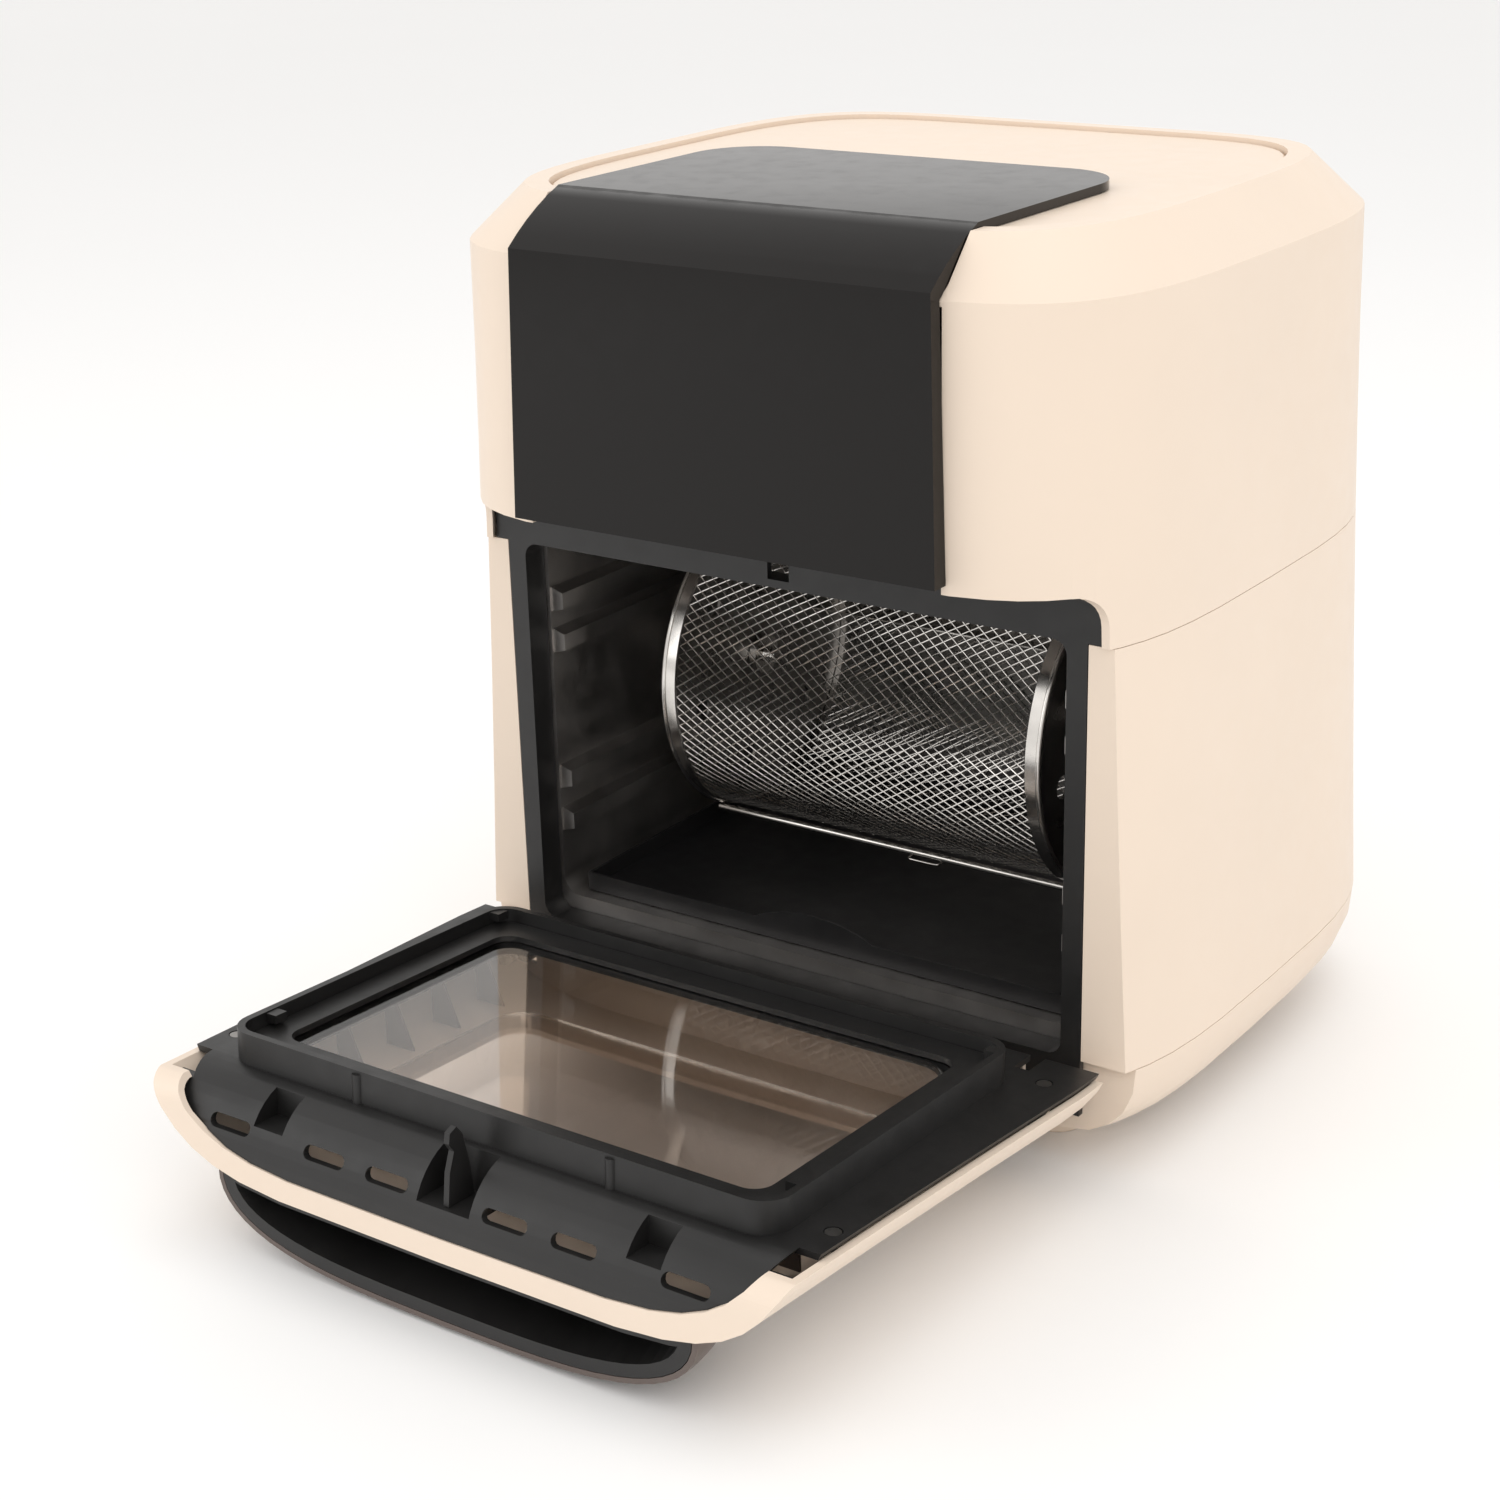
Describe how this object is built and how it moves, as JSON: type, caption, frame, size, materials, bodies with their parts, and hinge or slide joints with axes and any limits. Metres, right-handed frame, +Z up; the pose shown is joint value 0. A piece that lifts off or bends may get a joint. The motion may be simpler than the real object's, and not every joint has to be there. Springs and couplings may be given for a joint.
{
  "type": "rotisserie oven",
  "caption": "Benchtop rotisserie oven with a drop-down glass door, scoop handle, sloped control panel and a turning mesh basket over a drip tray",
  "frame": {"origin": "On the surface the feet stand on, under the middle of the object's bounding box with the door open", "axes": "+Z up, -Y out of the front where the door opens, +X to the viewer's right when facing the front"},
  "size_m": [0.3304, 0.4794, 0.366],
  "materials": {
    "cream_plastic": "satin cream moulded plastic",
    "black_plastic": "black satin moulded plastic",
    "gloss_black": "glossy near-black panel",
    "brown_plastic": "grey-brown satin plastic",
    "rubber": "dark soft rubber",
    "stainless": "polished stainless wire and strip",
    "sheet_steel": "plain sheet steel",
    "enamel": "dark non-stick coating",
    "clear_glass": "clear toughened glass",
    "board": "green circuit board",
    "motor_metal": "plain motor can"
  },
  "bodies": {
    "body": {"base_pan": "cream_plastic", "lower_shell": "cream_plastic", "upper_shell": "cream_plastic", "top_lid": "cream_plastic", "rear_cover": "cream_plastic", "foot_front_left": "cream_plastic", "foot_front_right": "cream_plastic", "foot_rear_left": "cream_plastic", "foot_rear_right": "cream_plastic", "front_frame": "black_plastic", "control_panel": "gloss_black", "cord_gland": "rubber", "bearing_bracket": "stainless", "cavity_liner": "sheet_steel", "element_guard": "sheet_steel", "heater_dome": "sheet_steel", "motor_bracket": "sheet_steel", "lamp_housing": "sheet_steel", "hinge_bracket_left": "sheet_steel", "hinge_bracket_right": "sheet_steel", "rear_screw_left": "sheet_steel", "rear_screw_right": "sheet_steel", "drip_tray": "enamel", "heating_element": "enamel", "lamp_lens": "clear_glass", "control_board": "board", "power_board": "board", "fan_motor": "motor_metal", "rotisserie_motor": "motor_metal"},
    "door": {"door_outer_shell": "cream_plastic", "door_liner": "black_plastic", "inner_glass": "clear_glass", "outer_glass": "clear_glass", "glass_retainer": "black_plastic", "latch_hook": "black_plastic", "handle_body": "black_plastic", "handle_cover": "brown_plastic", "hinge_arm_left": "sheet_steel", "hinge_arm_right": "sheet_steel", "hinge_pin_left": "sheet_steel", "hinge_pin_right": "sheet_steel", "door_screw_lower_left": "sheet_steel", "door_screw_lower_right": "sheet_steel", "door_screw_upper_left": "sheet_steel", "door_screw_upper_right": "sheet_steel"},
    "fan": {"fan_shaft": "stainless", "fan_blade": "sheet_steel", "cooling_fan": "sheet_steel"},
    "basket": {"basket_mesh": "stainless", "basket_ring_left": "stainless", "basket_ring_right": "stainless", "basket_end_left": "stainless", "basket_end_right": "stainless", "basket_pin_left": "stainless", "basket_pin_right": "stainless", "basket_vane": "stainless", "basket_rod": "stainless", "basket_latch": "stainless", "drive_socket": "stainless"}
  },
  "joints": [
    {"name": "door_hinge", "type": "hinge", "parent": "body", "child": "door", "pos_m": [0, -0.03895, 0.0356], "axis": [-1, 0, 0], "range_deg": [0, 86.3]},
    {"name": "fan_spin", "type": "hinge", "parent": "body", "child": "fan", "pos_m": [0, 0.09155, 0.25], "axis": [0, 0, 1], "continuous": true},
    {"name": "basket_spin", "type": "hinge", "parent": "body", "child": "basket", "pos_m": [0, 0.09155, 0.142], "axis": [1, 0, 0], "continuous": true}
  ]
}
